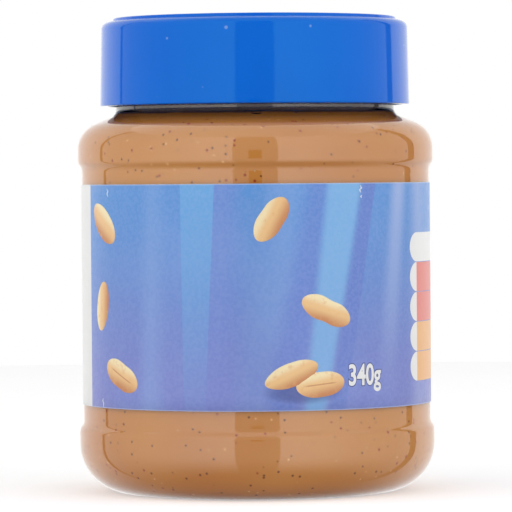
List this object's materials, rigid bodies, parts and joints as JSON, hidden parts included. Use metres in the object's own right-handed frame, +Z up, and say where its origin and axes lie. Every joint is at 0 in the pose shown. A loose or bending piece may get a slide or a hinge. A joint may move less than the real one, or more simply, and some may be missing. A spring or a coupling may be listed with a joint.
{
  "type": "peanut butter jar",
  "caption": "Clear screw-top jar of smooth peanut butter with a moulded lid and a film label wrapped round a recessed panel.",
  "frame": {"origin": "centre of the ring that the jar stands on, on the table plane", "axes": "+Z up along the jar's axis, -Y towards the viewer through the middle of the label's front, +X to the viewer's right"},
  "size_m": [0.0756, 0.0756, 0.1003],
  "materials": {
    "clear_plastic": "clear, blown, glossy",
    "spread": "smooth paste with fine skin specks",
    "label_film": "satin printed film",
    "lid_plastic": "moulded, glossy"
  },
  "bodies": {
    "root": {"jar": "clear_plastic", "peanut_butter": "spread", "label": "label_film", "lid": "lid_plastic"}
  },
  "joints": []
}
